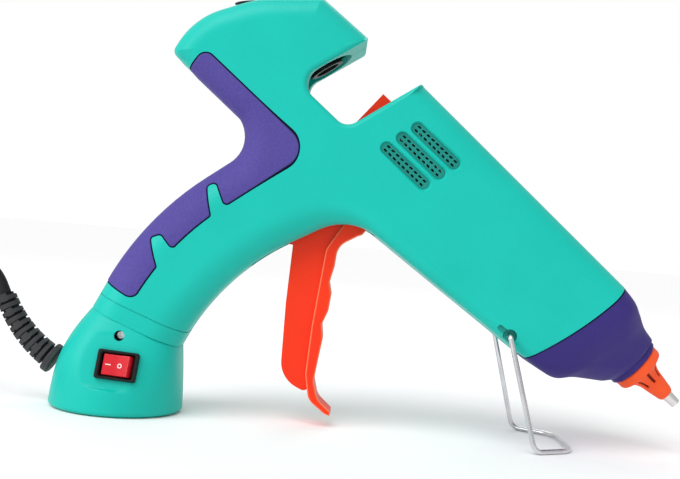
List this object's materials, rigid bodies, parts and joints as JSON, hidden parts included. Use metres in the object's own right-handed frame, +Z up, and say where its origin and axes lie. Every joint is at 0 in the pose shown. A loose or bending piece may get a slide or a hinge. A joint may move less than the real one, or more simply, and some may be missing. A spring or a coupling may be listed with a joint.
{
  "type": "hot glue applicator",
  "caption": "Corded hot glue applicator with a slanted barrel, soft grip on a hooked handle, trigger-driven stick feed, rocker switch in a round base and a folding wire stand.",
  "frame": {"origin": "middle of the base underside, on the table", "axes": "+X towards the nozzle, +Y to the side away from the switch, +Z up"},
  "size_m": [0.4738, 0.1009, 0.2092],
  "materials": {
    "turquoise": "fine matt moulded",
    "purple_rubber": "soft matt",
    "purple_plastic": "satin moulded",
    "orange_plastic": "satin moulded",
    "orange_silicone": "soft satin",
    "red_plastic": "gloss moulded",
    "black_plastic": "satin moulded",
    "black_rubber": "matt",
    "black_silicone": "matt",
    "red_silicone": "matt",
    "white_plastic": "satin",
    "blue_lead": "satin",
    "ceramic": "matt ceramic",
    "film": "satin film",
    "steel": "bright drawn",
    "brass": "bright",
    "aluminium": "cast and turned"
  },
  "bodies": {
    "housing": {"right_shell": "turquoise", "left_shell": "turquoise", "right_grip": "purple_rubber", "left_grip": "purple_rubber", "base_cup": "turquoise", "base_plate": "turquoise", "base_screws": "steel", "cup_screws": "steel", "shell_screws": "steel", "nose_cover": "purple_plastic", "nozzle_cover": "orange_silicone", "nozzle": "aluminium", "melt_chamber": "aluminium", "front_support": "black_silicone", "rear_support": "black_silicone", "heater_plates": "ceramic", "heater_electrodes": "steel", "heater_film": "film", "inlet_sleeve": "red_silicone", "sleeve_clip": "steel", "stick_guide": "black_plastic", "trigger_pin": "steel", "return_spring": "steel", "switch_body": "black_plastic", "switch_terminals": "brass", "strain_relief": "black_rubber", "cord_tail": "black_rubber", "heater_leads": "red_silicone", "supply_leads": "blue_lead", "splice_cap": "white_plastic", "cord": "black_rubber", "cord_coil": "black_rubber", "cord_end": "black_rubber", "coil_tie": "black_plastic", "plug_body": "black_rubber", "plug_pins": "brass", "right_hump": "turquoise", "left_hump": "turquoise"},
    "trigger": {"trigger": "orange_plastic"},
    "carriage": {"stick_carriage": "orange_plastic", "grip_blade": "steel"},
    "rocker": {"switch_rocker": "red_plastic"},
    "stand": {"wire_stand": "steel"}
  },
  "joints": [
    {"name": "trigger_pivot", "type": "hinge", "parent": "housing", "child": "trigger", "pos_m": [0.10264, 0, 0.11757], "axis": [0, 1, 0], "range_deg": [0, 18], "stiffness_Nm_per_rad": 1.2, "springref_deg": -14.32},
    {"name": "carriage_slide", "type": "slide", "parent": "housing", "child": "carriage", "axis": [0.7782, 0, -0.628], "range_m": [0, 0.0123], "deforming": ["return_spring"]},
    {"name": "rocker_tilt", "type": "hinge", "parent": "housing", "child": "rocker", "pos_m": [0.0046, -0.02547, 0.02368], "axis": [0.0523, 0.2585, 0.9646], "range_deg": [0, 14]},
    {"name": "stand_fold", "type": "hinge", "parent": "housing", "child": "stand", "pos_m": [0.18909, 0, 0.05399], "axis": [0, 1, 0], "range_deg": [0, 110]}
  ],
  "couplings": [
    {"joint": "carriage_slide", "follows": "trigger_pivot", "m_per_rad": 0.039}
  ]
}
